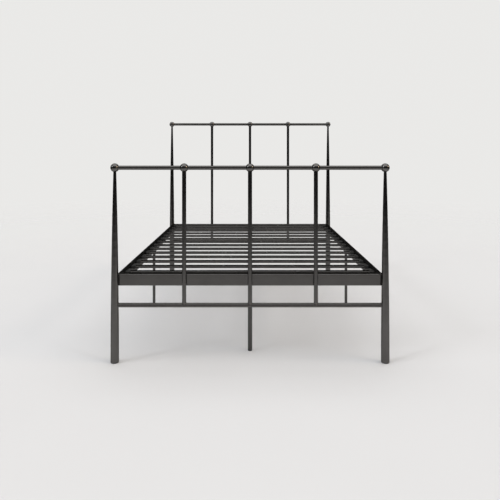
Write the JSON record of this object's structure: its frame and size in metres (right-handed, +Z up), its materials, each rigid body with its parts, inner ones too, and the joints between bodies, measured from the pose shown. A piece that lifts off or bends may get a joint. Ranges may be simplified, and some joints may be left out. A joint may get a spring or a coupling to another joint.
{
  "type": "metal bed frame",
  "caption": "Free-standing steel bed frame with tapered posts, plain spindles, ball joints, a slatted deck on bolted side rails, and support legs with levelling feet.",
  "frame": {"origin": "on the floor, under the middle of the frame", "axes": "+Z up, +Y from the foot end to the head end, +X to the right as seen from the foot end"},
  "size_m": [1.445, 2.0148, 1.3675],
  "materials": {
    "frame_paint": "satin charcoal powder coat",
    "ball_paint": "smooth semi-gloss charcoal powder coat",
    "deck_paint": "satin charcoal powder coat",
    "slat_paint": "satin charcoal powder coat",
    "black_plastic": "moulded, fine grain",
    "leveller_plastic": "moulded, fine grain",
    "fasteners": "zinc plated"
  },
  "bodies": {
    "frame": {"foot_post_left": "frame_paint", "foot_post_right": "frame_paint", "foot_top_rail": "frame_paint", "foot_lower_rail": "frame_paint", "foot_spindle_left": "frame_paint", "foot_spindle_middle": "frame_paint", "foot_spindle_right": "frame_paint", "foot_post_balls": "ball_paint", "foot_spindle_balls": "ball_paint", "foot_end_rail": "deck_paint", "head_post_left": "frame_paint", "head_post_right": "frame_paint", "head_top_rail": "frame_paint", "head_lower_rail": "frame_paint", "head_spindle_left": "frame_paint", "head_spindle_middle": "frame_paint", "head_spindle_right": "frame_paint", "head_post_balls": "ball_paint", "head_spindle_balls": "ball_paint", "head_end_rail": "deck_paint", "post_glides": "black_plastic", "end_rail_caps": "black_plastic", "side_rail_left": "deck_paint", "side_rail_right": "deck_paint", "side_rail_flanges": "deck_paint", "frame_bolts": "fasteners", "frame_washers": "fasteners", "frame_weld_nuts": "fasteners", "centre_rail": "deck_paint", "centre_rail_hangers": "deck_paint", "centre_rail_bolts": "fasteners", "centre_rail_nuts": "fasteners", "slat_holders": "black_plastic", "centre_leg_front": "deck_paint", "centre_leg_middle": "deck_paint", "centre_leg_back": "deck_paint", "side_leg_left": "deck_paint", "side_leg_right": "deck_paint", "leg_plates": "deck_paint", "leg_screws": "fasteners", "leg_inserts": "black_plastic", "slat_1": "slat_paint", "slat_2": "slat_paint", "slat_3": "slat_paint", "slat_4": "slat_paint", "slat_5": "slat_paint", "slat_6": "slat_paint", "slat_7": "slat_paint", "slat_8": "slat_paint", "slat_9": "slat_paint", "slat_10": "slat_paint", "slat_11": "slat_paint", "slat_12": "slat_paint", "slat_13": "slat_paint", "slat_14": "slat_paint"},
    "centre_front_leveller": {"leveller_centre_front": "leveller_plastic"},
    "centre_middle_leveller": {"leveller_centre_middle": "leveller_plastic"},
    "centre_back_leveller": {"leveller_centre_back": "leveller_plastic"},
    "side_left_leveller": {"leveller_side_left": "leveller_plastic"},
    "side_right_leveller": {"leveller_side_right": "leveller_plastic"}
  },
  "joints": [
    {"name": "centre_front_leveller_screw", "type": "slide", "parent": "frame", "child": "centre_front_leveller", "axis": [0, 0, 1], "range_m": [-0.012, 0]},
    {"name": "centre_middle_leveller_screw", "type": "slide", "parent": "frame", "child": "centre_middle_leveller", "axis": [0, 0, 1], "range_m": [-0.012, 0]},
    {"name": "centre_back_leveller_screw", "type": "slide", "parent": "frame", "child": "centre_back_leveller", "axis": [0, 0, 1], "range_m": [-0.012, 0]},
    {"name": "side_left_leveller_screw", "type": "slide", "parent": "frame", "child": "side_left_leveller", "axis": [0, 0, 1], "range_m": [-0.012, 0]},
    {"name": "side_right_leveller_screw", "type": "slide", "parent": "frame", "child": "side_right_leveller", "axis": [0, 0, 1], "range_m": [-0.012, 0]}
  ]
}
